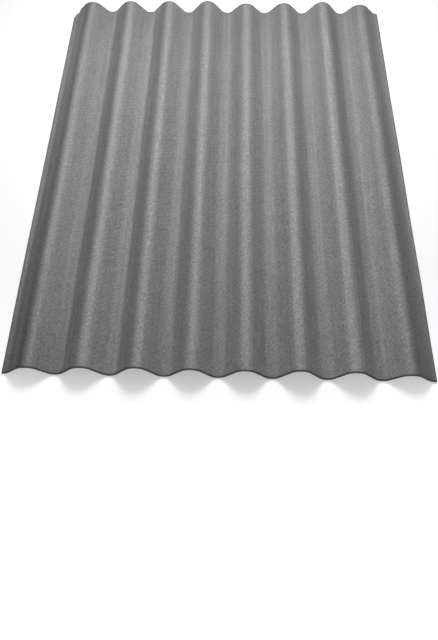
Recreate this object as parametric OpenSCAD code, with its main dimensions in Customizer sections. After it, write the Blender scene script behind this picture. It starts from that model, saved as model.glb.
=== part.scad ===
// A corrugated bitumen roofing sheet: one moulded sheet whose waves run along its length.
// Millimetres. X runs across the waves, Y along them, Z up. The sheet lies on z = 0, on the round
// bottoms of its valleys, with the origin under its middle.

/* [Sheet] */
// Length of the sheet, along the waves
sheet_length = 1000; // [300:10:3000]
// Height over all, from the underside of a valley to the top of a crest
sheet_height = 32; // [20:0.5:45]
// Thickness of the sheet
sheet_thickness = 2.6; // [1.6:0.1:4]

/* [Waves] */
// Number of waves; both side edges are in the middle of a valley
wave_count = 8; // [2:1:14]
// Distance from one crest to the next
wave_pitch = 95; // [80:1:140]
// Radius of a crest, at the middle of the thickness
crest_radius = 26; // [15:0.5:32]
// Radius of a valley, at the middle of the thickness
valley_radius = 18; // [10:0.5:24]

/* [Hidden] */
$fn = 144;

half_thick = sheet_thickness / 2;
// From the middle of a valley to the middle of a crest, at the middle of the thickness.
rise = sheet_height - sheet_thickness;
run = wave_pitch / 2;

// Where the waves are too narrow for the two radii, both shrink until 2 mm of straight flank is
// left between them.
most_radii = (run * run + rise * rise - 4) / (2 * rise);
fit = min(1, most_radii / (crest_radius + valley_radius));
crest_bend = crest_radius * fit;
valley_bend = valley_radius * fit;
bends = crest_bend + valley_bend;

// The straight flank that touches both bends: its length, and its slope from the level.
flank = sqrt(run * run + rise * rise - 2 * bends * rise);
slope = atan2(rise - bends, run) + atan2(bends, flank);

// A ring of the sheet's thickness, which the bends are cut from.
module bend_ring(r) {
    difference() {
        circle(r = r + half_thick);
        circle(r = r - half_thick);
    }
}

// Half a wave in section, from the middle of a crest to the middle of the valley on its right, with
// the crest's centre at the origin. The three pieces are drawn in the flank's own frame, where each
// bend starts square to the flank, so that they meet edge to edge. They are then turned to the
// slope, and the bends are cut off at the middle of the crest and of the valley.
module half_wave() {
    intersection() {
        translate([0, -2 * wave_pitch])
            square([run, 4 * wave_pitch]);
        rotate(-slope) {
            intersection() {
                bend_ring(crest_bend);
                translate([-2 * crest_bend, 0])
                    square(2 * crest_bend);
            }
            translate([0, crest_bend - half_thick])
                square([flank, sheet_thickness]);
            translate([flank, bends])
                intersection() {
                    bend_ring(valley_bend);
                    translate([0, -2 * valley_bend])
                        square(2 * valley_bend);
                }
        }
    }
}

module wave() {
    half_wave();
    mirror([1, 0, 0])
        half_wave();
}

// The whole section, standing on y = 0.
module section() {
    first = -(wave_count - 1) / 2 * wave_pitch;
    translate([first, sheet_height - half_thick - crest_bend])
        for (i = [0 : wave_count - 1])
            translate([i * wave_pitch, 0])
                wave();
}

module sheet() {
    color([0.40, 0.40, 0.41])
        rotate([90, 0, 0])
            linear_extrude(height = sheet_length, center = true)
                section();
}

sheet();
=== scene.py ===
"""The looks of a corrugated bitumen sheet: one waved board with a grey coat on top, a raw black
underside and rough cut edges, lying on a pale studio floor. Metres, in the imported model's frame."""

import math

import bmesh
import bpy
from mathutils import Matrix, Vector


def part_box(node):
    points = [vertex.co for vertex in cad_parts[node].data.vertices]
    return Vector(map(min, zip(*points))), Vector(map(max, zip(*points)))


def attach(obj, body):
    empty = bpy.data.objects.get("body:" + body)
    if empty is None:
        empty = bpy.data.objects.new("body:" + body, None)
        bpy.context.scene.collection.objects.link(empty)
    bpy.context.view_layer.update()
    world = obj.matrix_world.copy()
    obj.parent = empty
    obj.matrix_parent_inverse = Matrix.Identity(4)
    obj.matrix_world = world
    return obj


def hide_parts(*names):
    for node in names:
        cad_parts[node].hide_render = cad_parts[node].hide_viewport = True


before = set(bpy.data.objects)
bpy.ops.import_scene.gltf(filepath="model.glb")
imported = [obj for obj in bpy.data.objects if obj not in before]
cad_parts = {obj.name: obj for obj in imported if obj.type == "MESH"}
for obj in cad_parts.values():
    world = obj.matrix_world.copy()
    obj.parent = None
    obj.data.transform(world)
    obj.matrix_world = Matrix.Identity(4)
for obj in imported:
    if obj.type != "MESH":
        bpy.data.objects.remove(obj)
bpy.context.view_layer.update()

# ------------------------------------------------------------------ sizes of the board
low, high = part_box("sheet")
LENGTH = high.y - low.y
WIDTH = high.x - low.x
HEIGHT = high.z - low.z
WAVES = 8
PITCH = WIDTH / WAVES
THICKNESS = 0.0026
CREST_RADIUS = 0.026  # this and the next at the middle of the thickness
VALLEY_RADIUS = 0.018
RIM_RADIUS = 0.00035  # of the rounded rims of the cut edges

# The straight flank that touches both bends: its length, and its slope from the level.
run = PITCH / 2
rise = HEIGHT - THICKNESS
bends = CREST_RADIUS + VALLEY_RADIUS
flank = math.sqrt(run ** 2 + rise ** 2 - 2 * bends * rise)
slope = math.atan2(rise - bends, run) + math.atan2(bends, flank)

# The wave that is modelled has its crest over the origin.
off_flank = Vector((math.sin(slope), 0, math.cos(slope)))
crest_axis = Vector((0, 0, high.z - THICKNESS / 2 - CREST_RADIUS))
valley_axis = Vector((run, 0, low.z + THICKNESS / 2 + VALLEY_RADIUS))
flank_top = crest_axis + CREST_RADIUS * off_flank
flank_foot = valley_axis - VALLEY_RADIUS * off_flank

# The knocked-off corner, across and along the board.
CHIP_WIDTH = 0.021
CHIP_LENGTH = 0.019

# Moulded board is never dead true. How much higher each crest stands at the near end and at the
# far end, from left to right, how far the far end is cut out of square, and how far the right
# edge strays outwards at either end.
NEAR_CRESTS = (-0.004, 0.000, 0.003, 0.000, 0.000, 0.003, 0.001, -0.006)
FAR_CRESTS = (-0.003, 0.000, 0.001, 0.002, -0.004, -0.002, 0.002, -0.005)
OUT_OF_SQUARE = 0.008
STRAY_NEAR = 0.002
STRAY_FAR = -0.004

# Its waves also wander sideways, within this width, and it lifts off the floor, by this at most.
WANDER = 0.0016
LIFT = 0.0008

# How finely the board is divided.
CREST_STEPS = 12
VALLEY_STEPS = 8
FLANK_CUTS = 3
LENGTH_CUTS = 95

SAME_PLACE = 1e-6  # points that differ by less are one place,
SEAM = 1e-5  # and points on a seam that are this close are joined
RIM_ANGLE = math.radians(60)  # an edge sharper than this is a rim, and is rounded
SMOOTH_ANGLE = math.radians(35)  # an edge less sharp than this is shaded smooth

WEAVE_MAP = "round_the_waves"  # a map of the board in metres of flat board
TRUE_MAP = "before_bending"  # and one of where each point would be on a board that is dead true


# ------------------------------------------------------------------ tools for shaping
def select_alone(piece):
    bpy.ops.object.select_all(action="DESELECT")
    piece.select_set(True)
    bpy.context.view_layer.objects.active = piece


def select_edges(piece, fits):
    """In edit mode, selects the edges whose two ends fit the test, and nothing else."""
    bpy.ops.mesh.select_all(action="DESELECT")
    mesh = bmesh.from_edit_mesh(piece.data)
    for edge in mesh.edges:
        edge.select_set(fits(edge.verts[0].co, edge.verts[1].co))
    bmesh.update_edit_mesh(piece.data)


def along_the_waves(a, b):
    return abs(a.y - b.y) > SAME_PLACE


def on_line(place):
    """A test for the edges that run along the waves through this place of the section."""
    return lambda a, b: all(abs(v.x - place.x) + abs(v.z - place.z) < SAME_PLACE for v in (a, b))


def apply_modifier(piece, kind, **settings):
    select_alone(piece)
    modifier = piece.modifiers.new(kind.lower(), kind)
    for setting, value in settings.items():
        setattr(modifier, setting, value)
    bpy.ops.object.modifier_apply(modifier=modifier.name)


def slow_noise(name, lump_size):
    """A smooth cloud pattern for a Displace modifier, with lumps of about this size."""
    texture = bpy.data.textures.new(name, "CLOUDS")
    texture.noise_scale = lump_size
    texture.noise_depth = 1
    return texture


# ------------------------------------------------------------------ the board
def half_wave():
    """The middle surface of half a wave, from its crest to the valley on its right. The flank is
    a flat strip, and the bends are spun from its two long edges."""
    bpy.ops.object.select_all(action="DESELECT")
    bpy.ops.mesh.primitive_plane_add(size=1)
    board = bpy.context.object
    board.name = "waved_board"
    bpy.ops.object.mode_set(mode="EDIT")
    bpy.ops.mesh.select_all(action="SELECT")
    bpy.ops.transform.resize(value=(flank, LENGTH, 1))
    bpy.ops.transform.rotate(value=-slope, orient_axis="Y", center_override=(0, 0, 0))
    bpy.ops.transform.translate(value=(flank_top + flank_foot) / 2)

    select_edges(board, lambda a, b: not along_the_waves(a, b))
    bpy.ops.mesh.subdivide(number_cuts=FLANK_CUTS)
    select_edges(board, on_line(flank_top))
    bpy.ops.mesh.spin(steps=CREST_STEPS, angle=slope, center=crest_axis, axis=(0, 1, 0))
    select_edges(board, on_line(flank_foot))
    bpy.ops.mesh.spin(steps=VALLEY_STEPS, angle=slope, center=valley_axis, axis=(0, 1, 0))
    select_edges(board, along_the_waves)
    bpy.ops.mesh.subdivide(number_cuts=LENGTH_CUTS)
    bpy.ops.object.mode_set(mode="OBJECT")
    return board


def row_of_waves(board):
    """Mirrors the half wave and repeats the whole one across the board."""
    apply_modifier(board, "MIRROR", use_axis=(True, False, False), merge_threshold=SEAM)
    apply_modifier(board, "ARRAY", count=WAVES, use_relative_offset=False,
                   use_constant_offset=True, constant_offset_displace=(PITCH, 0, 0),
                   use_merge_vertices=True, merge_threshold=SEAM)
    bpy.ops.object.mode_set(mode="EDIT")
    bpy.ops.mesh.select_all(action="SELECT")
    bpy.ops.transform.translate(value=(-(WAVES - 1) / 2 * PITCH, 0, 0))
    bpy.ops.mesh.normals_make_consistent(inside=False)
    bpy.ops.object.mode_set(mode="OBJECT")
    if sum(face.normal.z for face in board.data.polygons) < 0:
        board.data.flip_normals()


def knock_off_corner(board):
    """Cuts off the far left corner."""
    corner = Vector((low.x, high.y, 0))
    select_alone(board)
    bpy.ops.object.mode_set(mode="EDIT")
    bpy.ops.mesh.select_all(action="SELECT")
    bpy.ops.mesh.bisect(plane_co=corner + Vector((CHIP_WIDTH, 0, 0)),
                        plane_no=(-CHIP_LENGTH, CHIP_WIDTH, 0), clear_outer=True)
    bpy.ops.object.mode_set(mode="OBJECT")


def map_board(board):
    """Lays two maps over the board. One has its first coordinate walked round the waves, so that
    the woven imprint is as wide on the flanks as on the crests, and the other keeps each point's
    true place, so that the coat's tones stay on their crests when the board is bent."""
    height_at = {round(v.co.x, 6): v.co.z for v in board.data.vertices}
    across = sorted(height_at)
    walked = {across[0]: 0.0}
    for last, here in zip(across, across[1:]):
        walked[here] = walked[last] + math.hypot(here - last, height_at[here] - height_at[last])
    weave_map = board.data.uv_layers.new(name=WEAVE_MAP)
    true_map = board.data.uv_layers.new(name=TRUE_MAP)
    for loop in board.data.loops:
        place = board.data.vertices[loop.vertex_index].co
        weave_map.uv[loop.index].vector = (walked[round(place.x, 6)], place.y)
        true_map.uv[loop.index].vector = (place.x, place.y)


def bend_out_of_true(board):
    """Puts the board in a cage with a row of handles at its near end and one at its far end, a
    handle on each crest and valley, and pulls them."""
    columns = 2 * WAVES + 1
    bpy.ops.object.select_all(action="DESELECT")
    bpy.ops.object.add(type="LATTICE")
    cage = bpy.context.object
    cage.scale = (WIDTH, LENGTH, 1)
    cage.data.points_u = columns
    cage.data.points_v = 2
    cage.data.points_w = 1
    cage.data.interpolation_type_u = "KEY_CARDINAL"
    cage.data.interpolation_type_v = "KEY_LINEAR"
    for number, handle in enumerate(cage.data.points):
        row, column = divmod(number, columns)
        rightness = column / WAVES - 1  # from -1 at the left edge to 1 at the right one
        stray = (STRAY_NEAR, STRAY_FAR)[row] * max(0, rightness) ** 2
        lengthening = row * OUT_OF_SQUARE * rightness / 2
        lift = (NEAR_CRESTS, FAR_CRESTS)[row][column // 2] if column % 2 else 0
        handle.co_deform += Vector((stray / WIDTH, lengthening / LENGTH, lift))
    apply_modifier(board, "LATTICE", object=cage)
    bpy.data.objects.remove(cage)


def make_board():
    board = half_wave()
    row_of_waves(board)
    knock_off_corner(board)
    map_board(board)
    bend_out_of_true(board)
    apply_modifier(board, "DISPLACE", texture=slow_noise("wander", 0.22), direction="X",
                   strength=WANDER, mid_level=0.5)
    apply_modifier(board, "DISPLACE", texture=slow_noise("lift", 0.16), direction="Z",
                   strength=LIFT, mid_level=0.0)
    for finish in (grey_coat(), raw_bitumen(), cut_edge()):
        board.data.materials.append(finish)
    apply_modifier(board, "SOLIDIFY", thickness=THICKNESS, offset=0, use_even_offset=True,
                   material_offset=1, material_offset_rim=2)
    apply_modifier(board, "BEVEL", width=RIM_RADIUS, segments=2, limit_method="ANGLE",
                   angle_limit=RIM_ANGLE)
    select_alone(board)
    bpy.ops.object.shade_smooth_by_angle(angle=SMOOTH_ANGLE)
    return board


# ------------------------------------------------------------------ tools for finishes
class Finish:
    """One material as it is mixed: each call adds a node and gives back what comes out of it."""

    def __init__(self, name, roughness):
        self.material = bpy.data.materials.new(name)
        self.material.use_nodes = True
        self.tree = self.material.node_tree
        self.shader = self.tree.nodes["Principled BSDF"]
        self.shader.inputs["Roughness"].default_value = roughness
        self.place = self.node("TexCoord").outputs["Object"]

    def node(self, kind, fed=None, **settings):
        """Adds a node. fed gives its inputs, each by a number or by what another node puts out."""
        node = self.tree.nodes.new("ShaderNode" + kind)
        for setting, value in settings.items():
            setattr(node, setting, value)
        for name, value in (fed or {}).items():
            self.feed(node.inputs[name], value)
        return node

    def feed(self, socket, value):
        """Links a socket to what another node puts out, or sets it to a number or a colour."""
        if isinstance(value, bpy.types.NodeSocket):
            self.tree.links.new(value, socket)
        else:
            socket.default_value = value

    def split(self, vector):
        outputs = self.node("SeparateXYZ", {0: vector}).outputs
        return outputs["X"], outputs["Y"], outputs["Z"]

    def calc(self, operation, a, b=0.0, c=0.0):
        return self.node("Math", {0: a, 1: b, 2: c}, operation=operation).outputs[0]

    def stretched(self, vector, scale):
        return self.node("Mapping", {"Vector": vector, "Scale": scale}).outputs[0]

    def noise(self, vector, lumps_per_metre, detail=3.0, roughness=0.5):
        """A cloudy pattern, from about -0.25 to 0.25."""
        fed = {"Vector": vector, "Scale": lumps_per_metre, "Detail": detail, "Roughness": roughness}
        return self.calc("SUBTRACT", self.node("TexNoise", fed).outputs["Fac"], 0.5)

    def summed(self, *parts, start=0.0):
        """The sum of patterns, each times its own amount, on top of a start."""
        for pattern, amount in parts:
            start = self.calc("MULTIPLY_ADD", pattern, amount, start)
        return start

    def scaled(self, value, low_in, high_in, low_out, high_out, kind="LINEAR"):
        """Goes from low_out to high_out as the value goes from low_in to high_in, and no further."""
        fed = {"Value": value, "From Min": low_in, "From Max": high_in,
               "To Min": low_out, "To Max": high_out}
        return self.node("MapRange", fed, interpolation_type=kind).outputs["Result"]

    def eased(self, *value_and_ranges):
        """As scaled, but it starts and stops gently."""
        return self.scaled(*value_and_ranges, kind="SMOOTHSTEP")

    def greys(self, value, stops):
        """A grey that depends on value, through stops of (value, grey)."""
        ramp = self.node("ValToRGB", {"Fac": value})
        ramp.color_ramp.interpolation = "CARDINAL"
        elements = ramp.color_ramp.elements
        while len(elements) < len(stops):
            elements.new(1.0)
        for element, (position, grey) in zip(elements, stops):
            element.position = position
            element.color = (grey, grey, grey, 1)
        return ramp.outputs["Color"]

    def tinted(self, colour, factor):
        """The colour made lighter or darker by a factor of about 1."""
        return self.node("VectorMath", {0: colour, "Scale": factor}, operation="SCALE").outputs[0]

    def paler(self, colour, where, share):
        """The colour made paler by this share where the pattern is 1, and darker where it is -1."""
        return self.tinted(colour, self.calc("MULTIPLY_ADD", where, share, 1.0))

    def mixed(self, amount, first, second):
        node = self.node("Mix", data_type="RGBA")
        for name, value in {"Factor": amount, "A": first, "B": second}.items():
            self.feed(next(s for s in node.inputs if s.name == name and s.enabled), value)
        return next(s for s in node.outputs if s.enabled)

    def colour_from(self, colour):
        self.feed(self.shader.inputs["Base Color"], colour)

    def roughness_from(self, roughness):
        self.feed(self.shader.inputs["Roughness"], roughness)

    def relief_from(self, height):
        """Bumps the surface by a height in metres."""
        bump = self.node("Bump", {"Strength": 1.0, "Distance": 1.0, "Height": height})
        self.feed(self.shader.inputs["Normal"], bump.outputs["Normal"])


# ------------------------------------------------------------------ imprints in the board
WIRE_CLOTH = (0.0024, 0.0024)  # pitch across and along the board, of the fine imprint,
PRESS_FELT = (0.0091, 0.0102)  # of the coarse one,
FELT_TWILL = (0.0145, 0.0104)  # and of the slanting lines


def turns_of_cloth(finish, pitch_across, pitch_along):
    """Two angles that turn once for each pitch across and along the flat board, and drift as the
    threads of a cloth do."""
    flat_board = finish.node("UVMap", uv_map=WEAVE_MAP).outputs["UV"]
    drift = finish.calc("MULTIPLY", finish.noise(flat_board, 40.0, 2.0), 4.5)
    across, along, _ = finish.split(flat_board)
    turn = 2 * math.pi
    return (finish.calc("MULTIPLY_ADD", across, turn / pitch_across, drift),
            finish.calc("MULTIPLY_ADD", along, turn / pitch_along, drift))


def woven_imprint(finish, pitch_across, pitch_along):
    """The imprint of a plain cloth, from -1 in its gaps to 1 on its knuckles."""
    warp, weft = turns_of_cloth(finish, pitch_across, pitch_along)
    return finish.calc("MULTIPLY", finish.calc("SINE", warp), finish.calc("SINE", weft))


def twill_imprint(finish, pitch_across, pitch_along):
    """Slanting lines that climb to the right, from -1 to 1."""
    warp, weft = turns_of_cloth(finish, pitch_across, pitch_along)
    return finish.calc("COSINE", finish.calc("SUBTRACT", warp, weft))


# ------------------------------------------------------------------ the grey coat
BARE_FIBRE = (0.045, 0.044, 0.042, 1)
FRAYED_STRIP = 0.0027  # how far in from the cut ends the coat is gone, give or take some fibre

# The grey across a wave, with painted highlights on the crest and on the foot of the flank that faces
# left and painted shade on the shoulders, set apart for the waves at the left, in the middle and at the
# right as the lamps over the middle light them: how far from one valley to the next, and the grey there
# on the waves at the left, in the middle and at the right.
GREYS_AND_PAINTED_LIGHT_ACROSS_A_WAVE = (
    (0.00, 0.175, 0.160, 0.170),  # bottom of the valley
    (0.04, 0.205, 0.180, 0.165),
    (0.10, 0.255, 0.215, 0.200),  # painted highlight on the foot of the flank that faces left
    (0.14, 0.250, 0.210, 0.205),
    (0.17, 0.185, 0.190, 0.195),  # and its sharp border
    (0.26, 0.170, 0.170, 0.180),
    (0.38, 0.120, 0.145, 0.150),  # painted shade on the shoulder
    (0.43, 0.140, 0.180, 0.195),
    (0.50, 0.195, 0.210, 0.210),  # painted highlight on the crest
    (0.55, 0.210, 0.205, 0.195),
    (0.62, 0.165, 0.160, 0.155),  # painted shade on the shoulder
    (0.72, 0.175, 0.175, 0.170),  # flank that faces right
    (0.81, 0.180, 0.180, 0.190),
    (0.88, 0.180, 0.195, 0.215),  # its foot
    (0.95, 0.160, 0.175, 0.190),
    (1.00, 0.175, 0.160, 0.170))  # bottom of the next valley

# Painted shade along the whole coat: how pale it is at shares of the way back from the near end to the
# far one.
PAINTED_SHADE_ALONG_THE_BOARD = (
    (0.00, 0.940), (0.07, 0.980), (0.55, 0.975), (0.72, 1.000), (0.85, 0.990), (0.97, 0.920))


class GreyCoat(Finish):
    """Matte grey paint on felted board. It knows its place on a board that is dead true: across
    and along from the middle, and in from each edge. Two ways go from 0 to 1: back from the near
    end to the far one, and across each wave from one valley to the next."""

    def __init__(self):
        super().__init__("grey_coat", 0.65)
        self.across, self.along, _ = self.split(self.node("UVMap", uv_map=TRUE_MAP).outputs["UV"])
        _, _, self.up = self.split(self.place)
        self.from_middle = self.calc("ABSOLUTE", self.across)
        self.from_side = self.calc("SUBTRACT", WIDTH / 2, self.from_middle)
        self.from_left = self.calc("ADD", WIDTH / 2, self.across)
        self.from_right = self.calc("SUBTRACT", WIDTH / 2, self.across)
        self.from_end = self.calc("SUBTRACT", LENGTH / 2, self.calc("ABSOLUTE", self.along))
        self.way_back = self.calc("MULTIPLY_ADD", self.along, 1 / LENGTH, 0.5)
        self.way_across_wave = self.calc(
            "FRACT", self.calc("MULTIPLY_ADD", self.across, 1 / PITCH, WAVES / 2))


def grey_and_painted_light_of_a_wave(coat):
    """The grey across each wave, with painted highlights and painted shade in it. The waves at the left
    fade into those in the middle, and these into those at the right."""
    left, middle, right = (
        coat.greys(coat.way_across_wave, [(place, tones[part]) for place, *tones in GREYS_AND_PAINTED_LIGHT_ACROSS_A_WAVE])
        for part in range(3))
    colour = coat.mixed(coat.eased(coat.across, -0.20, 0.00, 0.0, 1.0), left, middle)
    return coat.mixed(coat.eased(coat.across, 0.00, 0.20, 0.0, 1.0), colour, right)


def painted_light_and_shade_over_the_board(coat, colour):
    """Painted shade makes the coat darker in the middle and at both ends. On the left half, painted
    light makes the shaded flanks that face left paler towards the far end."""
    # painted shade in the middle of the board
    colour = coat.tinted(colour, coat.eased(coat.from_middle, 0.04, 0.20, 0.94, 1.0))
    facing_left = coat.greys(coat.way_across_wave, [
        (0.11, 0.0), (0.15, 1.0), (0.31, 1.0), (0.39, 0.0)])
    on_left = coat.eased(coat.across, -0.15, 0.02, 1.0, 0.0)
    # painted light on the shaded flanks that face left, on the left half towards the far end
    painted_light_on_flanks = coat.calc("MULTIPLY", on_left, coat.scaled(coat.way_back, 0.4, 0.85, 0.0, 0.09))
    colour = coat.paler(colour, facing_left, painted_light_on_flanks)
    return coat.tinted(colour, coat.greys(coat.way_back, PAINTED_SHADE_ALONG_THE_BOARD))


def painted_crest_highlights_and_shade(coat, colour):
    """Towards the near end, painted highlights make the crests paler and painted shade darkens the
    valleys and the left side. The second crest from each side carries the palest painted highlight."""
    near_end = coat.eased(coat.way_back, 0.0, 0.35, 1.0, 0.0)
    # painted highlights on the crests and painted shade in the valleys, towards the near end
    colour = coat.paler(colour, coat.scaled(coat.up, 0.006, 0.030, -0.06, 0.06), near_end)
    colour = coat.paler(colour, coat.eased(coat.from_left, 0.03, 0.16, -0.15, 0.0), near_end)
    off_second_crest = coat.calc("SUBTRACT", coat.from_middle, (WAVES / 2 - 1.5) * PITCH)
    from_second_crest = coat.calc("ABSOLUTE", off_second_crest)
    # painted highlight on the second crest from each side
    return coat.tinted(colour, coat.eased(from_second_crest, 0.004, 0.018, 1.05, 1.0))


def painted_shade_and_highlights_at_sides(coat, colour):
    """Painted shade darkens the slopes outside the first and the last crest, which face away from the
    lamps, most so towards the near end and on the left. Painted highlights pale the foot at the right
    edge and the rims beyond, less so towards the far end."""
    # painted shade on the slopes outside the first and the last crest
    painted_side_shade = coat.tinted(colour, coat.scaled(coat.way_back, 0.0, 0.9, 0.62, 0.92))
    colour = coat.mixed(coat.eased(coat.from_side, 0.036, 0.051, 1.0, 0.0), colour, painted_side_shade)
    colour = coat.tinted(colour, coat.eased(coat.from_left, 0.010, 0.028, 0.86, 1.0))
    # painted highlights on the foot at the right edge and on the rims
    right_foot = coat.eased(coat.from_right, 0.008, 0.030, 1.0, 0.0)
    colour = coat.paler(colour, right_foot, coat.scaled(coat.way_back, 0.4, 0.9, 0.16, 0.07))
    left_rim = coat.eased(coat.from_left, 0.006, 0.013, 1.0, 0.0)
    colour = coat.paler(colour, left_rim, coat.scaled(coat.way_back, 0.0, 0.9, 0.55, 0.08))
    right_rim = coat.eased(coat.from_right, 0.003, 0.009, 1.0, 0.0)
    return coat.paler(colour, right_rim, coat.scaled(coat.way_back, 0.2, 1.0, 0.18, 0.0))


def bare_edges(coat, colour, fibre):
    """No coat is left on a frayed strip at the cut ends, which is half as wide at the sides."""
    from_edge = coat.calc("MINIMUM", coat.from_end, coat.calc("MULTIPLY", coat.from_side, 2.0))
    frayed = coat.summed((fibre, 0.0030), start=FRAYED_STRIP)
    bare = coat.eased(coat.calc("DIVIDE", from_edge, frayed), 0.7, 1.3, 1.0, 0.0)
    return coat.mixed(bare, colour, BARE_FIBRE)


def grey_coat():
    """The top. Fibre, grain and the imprints show through the paint, less so towards the far end,
    and the paint lies in soft patches and faint lengthwise streaks."""
    coat = GreyCoat()
    weave = woven_imprint(coat, *WIRE_CLOTH)
    felt = woven_imprint(coat, *PRESS_FELT)
    twill = twill_imprint(coat, *FELT_TWILL)
    fibre = coat.noise(coat.place, 250.0, 2.0, 0.6)
    grain = coat.noise(coat.place, 900.0, 2.0, 0.6)
    clots = coat.noise(coat.place, 95.0, 1.0)
    patches = coat.noise(coat.place, 22.0, 3.0, 0.55)
    streaks = coat.noise(coat.stretched(coat.place, (230.0, 5.0, 55.0)), 1.0, 3.0, 0.85)

    speckle = coat.summed((fibre, 1.28), (grain, 0.60), (clots, 0.22), (felt, 0.055), (weave, 0.10),
                          (twill, 0.042))
    # Painted highlights and painted shade come into the grey here and in the steps below.
    colour = grey_and_painted_light_of_a_wave(coat)
    colour = coat.paler(colour, speckle, coat.scaled(coat.way_back, 0.5, 1.0, 1.0, 0.68))
    colour = coat.tinted(colour, coat.summed((patches, 0.24), (streaks, 0.60), start=1.02))
    colour = painted_light_and_shade_over_the_board(coat, colour)
    colour = painted_crest_highlights_and_shade(coat, colour)
    colour = painted_shade_and_highlights_at_sides(coat, colour)
    coat.colour_from(bare_edges(coat, colour, fibre))
    coat.roughness_from(coat.summed((patches, 0.20), start=0.65))
    coat.relief_from(coat.summed((weave, 0.00006), (felt, 0.00005), (fibre, 0.00025),
                                 (grain, 0.00012)))
    return coat.material


# ------------------------------------------------------------------ the two raw finishes
def raw_bitumen():
    """The underside: board soaked black-brown with bitumen, drier in patches and along streaks, with
    the fine imprint a little shiny on its knuckles."""
    bitumen = Finish("raw_bitumen", 0.55)
    weave = woven_imprint(bitumen, *WIRE_CLOTH)
    felt = woven_imprint(bitumen, *PRESS_FELT)
    twill = twill_imprint(bitumen, *FELT_TWILL)
    fibre = bitumen.noise(bitumen.place, 350.0, 3.0, 0.6)
    patches = bitumen.noise(bitumen.place, 18.0, 3.0, 0.6)
    streaks = bitumen.noise(bitumen.stretched(bitumen.place, (120.0, 4.0, 40.0)), 1.0, 2.0)
    dryness = bitumen.summed((patches, 1.6), (streaks, 0.8), start=0.45)
    colour = bitumen.mixed(dryness, (0.016, 0.014, 0.012, 1), (0.060, 0.054, 0.048, 1))
    speckle = bitumen.summed((fibre, 1.2), (weave, 0.15), (felt, 0.06), start=1.0)
    bitumen.colour_from(bitumen.tinted(colour, speckle))
    bitumen.roughness_from(bitumen.summed((weave, -0.10), (patches, 0.30), start=0.56))
    bitumen.relief_from(bitumen.summed((weave, 0.00006), (felt, 0.00005), (twill, 0.00003),
                                       (fibre, 0.00020)))
    return bitumen.material


def cut_edge():
    """The sawn edges: torn black-brown fibre in thin layers."""
    edge = Finish("cut_edge", 0.8)
    fibre = edge.noise(edge.place, 900.0, 4.0, 0.65)
    layers = edge.noise(edge.stretched(edge.place, (120.0, 120.0, 2600.0)), 1.0, 3.0, 0.6)
    torn = edge.summed((fibre, 1.0), start=0.5)
    colour = edge.mixed(torn, (0.022, 0.021, 0.019, 1), (0.095, 0.090, 0.084, 1))
    edge.colour_from(edge.tinted(colour, edge.summed((layers, 2.0), start=1.0)))
    edge.relief_from(edge.summed((fibre, 0.0004), (layers, 0.0003)))
    return edge.material


# ------------------------------------------------------------------ floor, light and camera
STUDIO_WHITE = 0.93
ROOM_LIGHT = 0.2
FLOOR_GREY = 0.9
FLOOR_WIDTH = 80
UNDER_LAMPS = (0, 0.3, 0)  # where the lamps light the floor most
GLOW_REACH = 4.0  # how far from there the floor's glow has reached its full strength

CAMERA_PLACE = (0.01075, -0.96288, 1.03093)
CAMERA_TURN = (29.35, -0.057, 1.219)  # degrees about x, y and z, from looking straight down
LENS = 36.164  # millimetres, on a film 36 wide
FILM_WIDTH = 36


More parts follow.
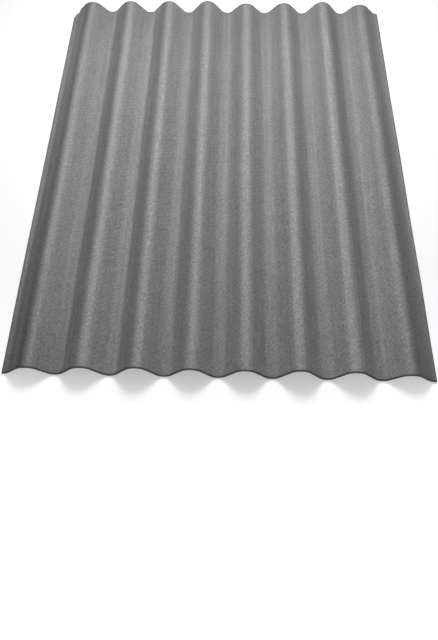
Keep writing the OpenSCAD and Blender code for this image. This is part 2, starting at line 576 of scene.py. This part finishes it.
def make_floor():
    """A wide pale floor. It glows as much as the lamps' light falls off, so that it stays pale all
    the way to the horizon and meets a background of the same white."""
    bpy.ops.object.select_all(action="DESELECT")
    bpy.ops.mesh.primitive_plane_add(size=FLOOR_WIDTH, location=(0, 0, low.z))
    floor = bpy.context.object
    floor.name = "studio_floor"
    paint = Finish("pale_floor", 0.8)
    paint.colour_from((FLOOR_GREY, FLOOR_GREY, FLOOR_GREY, 1))
    distance = paint.node("VectorMath", {0: paint.place, 1: UNDER_LAMPS}, operation="DISTANCE")
    share_of_reach = paint.calc("DIVIDE", distance.outputs["Value"], GLOW_REACH)
    glow = paint.greys(share_of_reach, [
        (0.12, 0.00), (0.18, 0.08), (0.22, 0.24), (0.27, 0.41), (0.33, 0.52), (0.43, 0.62),
        (0.62, 0.70), (1.00, STUDIO_WHITE - FLOOR_GREY * ROOM_LIGHT)])
    paint.feed(paint.shader.inputs["Emission Color"], (1, 1, 1, 1))
    paint.feed(paint.shader.inputs["Emission Strength"], glow)
    floor.data.materials.append(paint.material)


def soft_box(name, place, aim, width, depth, watts):
    """A rectangular studio light that lights the board but isn't seen itself."""
    light = bpy.data.lights.new(name, "AREA")
    light.shape = "RECTANGLE"
    light.size = width
    light.size_y = depth
    light.energy = watts
    lamp = bpy.data.objects.new(name, light)
    lamp.location = place
    lamp.rotation_euler = (Vector(aim) - Vector(place)).to_track_quat("-Z", "Y").to_euler()
    lamp.visible_camera = False
    bpy.context.scene.collection.objects.link(lamp)


def light_studio():
    """Three soft boxes, in a room that is dim on the board but seen as white."""
    soft_box("over_far_half", place=(0, 0.5, 0.9), aim=(0, 0.25, 0), width=0.5, depth=0.5, watts=10.9)
    soft_box("over_middle", place=(0, 0, 0.6), aim=(0, 0, 0), width=0.5, depth=0.5, watts=0.9)
    soft_box("in_front", place=(0, -2.2, 2.0), aim=(0, 0, 0), width=2.0, depth=1.0, watts=30.0)
    scene = bpy.context.scene
    scene.world = bpy.data.worlds.new("studio")
    scene.world.use_nodes = True
    tree = scene.world.node_tree
    tree.nodes["Background"].inputs["Color"].default_value = (1, 1, 1, 1)
    seen = tree.nodes.new("ShaderNodeLightPath").outputs["Is Camera Ray"]
    strength = tree.nodes.new("ShaderNodeMapRange")
    strength.inputs["To Min"].default_value = ROOM_LIGHT
    strength.inputs["To Max"].default_value = STUDIO_WHITE
    tree.links.new(seen, strength.inputs["Value"])
    tree.links.new(strength.outputs["Result"], tree.nodes["Background"].inputs["Strength"])
    scene.view_settings.view_transform = "Standard"


def place_camera():
    camera = bpy.data.objects.new("camera", bpy.data.cameras.new("camera"))
    camera.data.lens = LENS
    camera.data.sensor_width = FILM_WIDTH
    camera.data.sensor_fit = "AUTO"
    camera.location = CAMERA_PLACE
    camera.rotation_euler = [math.radians(turn) for turn in CAMERA_TURN]
    bpy.context.scene.collection.objects.link(camera)
    bpy.context.scene.camera = camera


board = make_board()
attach(board, "root")
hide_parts("sheet")
make_floor()
light_studio()
place_camera()
